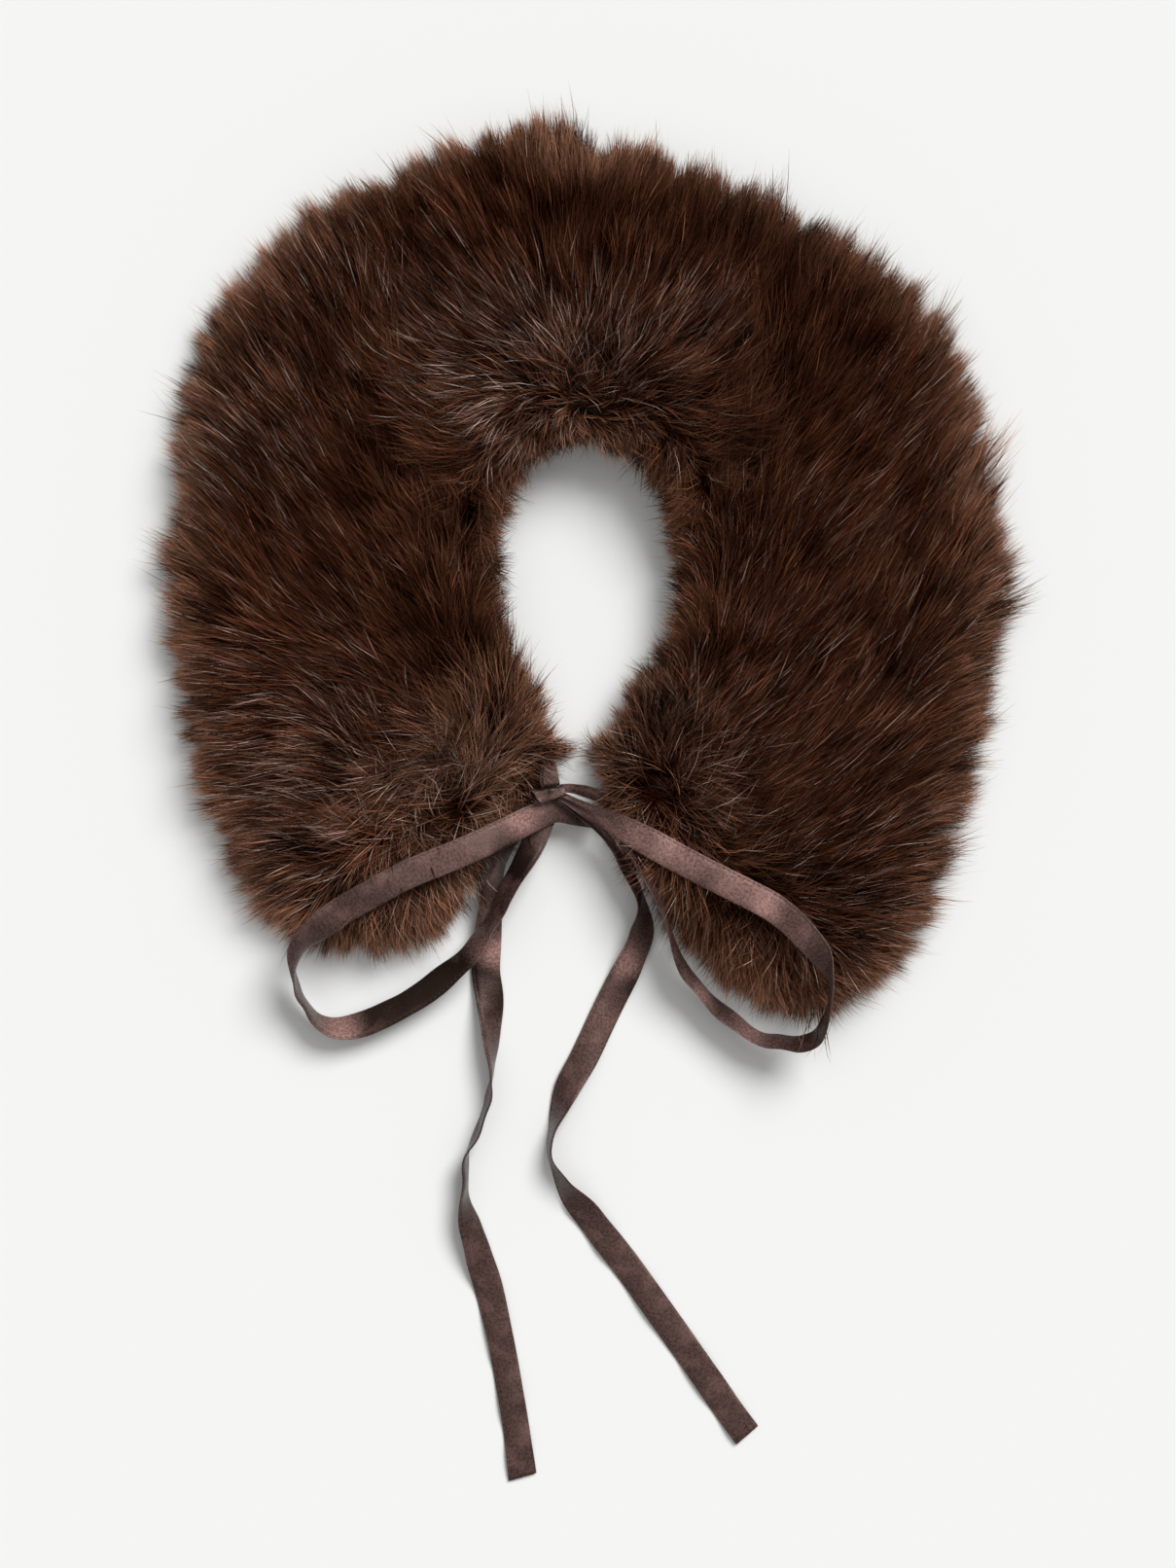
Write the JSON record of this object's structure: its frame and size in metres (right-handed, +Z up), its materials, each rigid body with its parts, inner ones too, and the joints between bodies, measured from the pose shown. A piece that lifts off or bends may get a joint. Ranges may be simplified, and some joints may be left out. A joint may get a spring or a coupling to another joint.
{
  "type": "fur collar wrap",
  "caption": "Horseshoe collar of long-pile fur cloth, laid flat round a teardrop neck opening and tied at the front in a satin bow with trailing tails.",
  "frame": {"origin": "middle of the wrap's box on the surface it lies on", "axes": "+Z up from the surface, +Y from the tie ends to the back of the neck, +X to the picture's right"},
  "size_m": [0.4212, 0.6654, 0.0556],
  "materials": {
    "fur_pile": "long soft dark brown pile with a low sheen, lighter at its tips",
    "fur_backing": "matt knitted backing under flattened dark brown pile",
    "satin_tie": "dark brown satin with soft pinkish brown highlights and edge stitching"
  },
  "bodies": {
    "root": {"under_fur_panel": "fur_backing", "left_upper_fur": "fur_pile", "right_upper_fur": "fur_pile", "left_tie_stub": "satin_tie", "right_tie_stub": "satin_tie", "left_loop_top": "satin_tie", "left_loop_under": "satin_tie", "left_tail": "satin_tie", "right_loop_top": "satin_tie", "right_loop_under": "satin_tie", "right_tail": "satin_tie", "bow_knot": "satin_tie"}
  },
  "joints": []
}
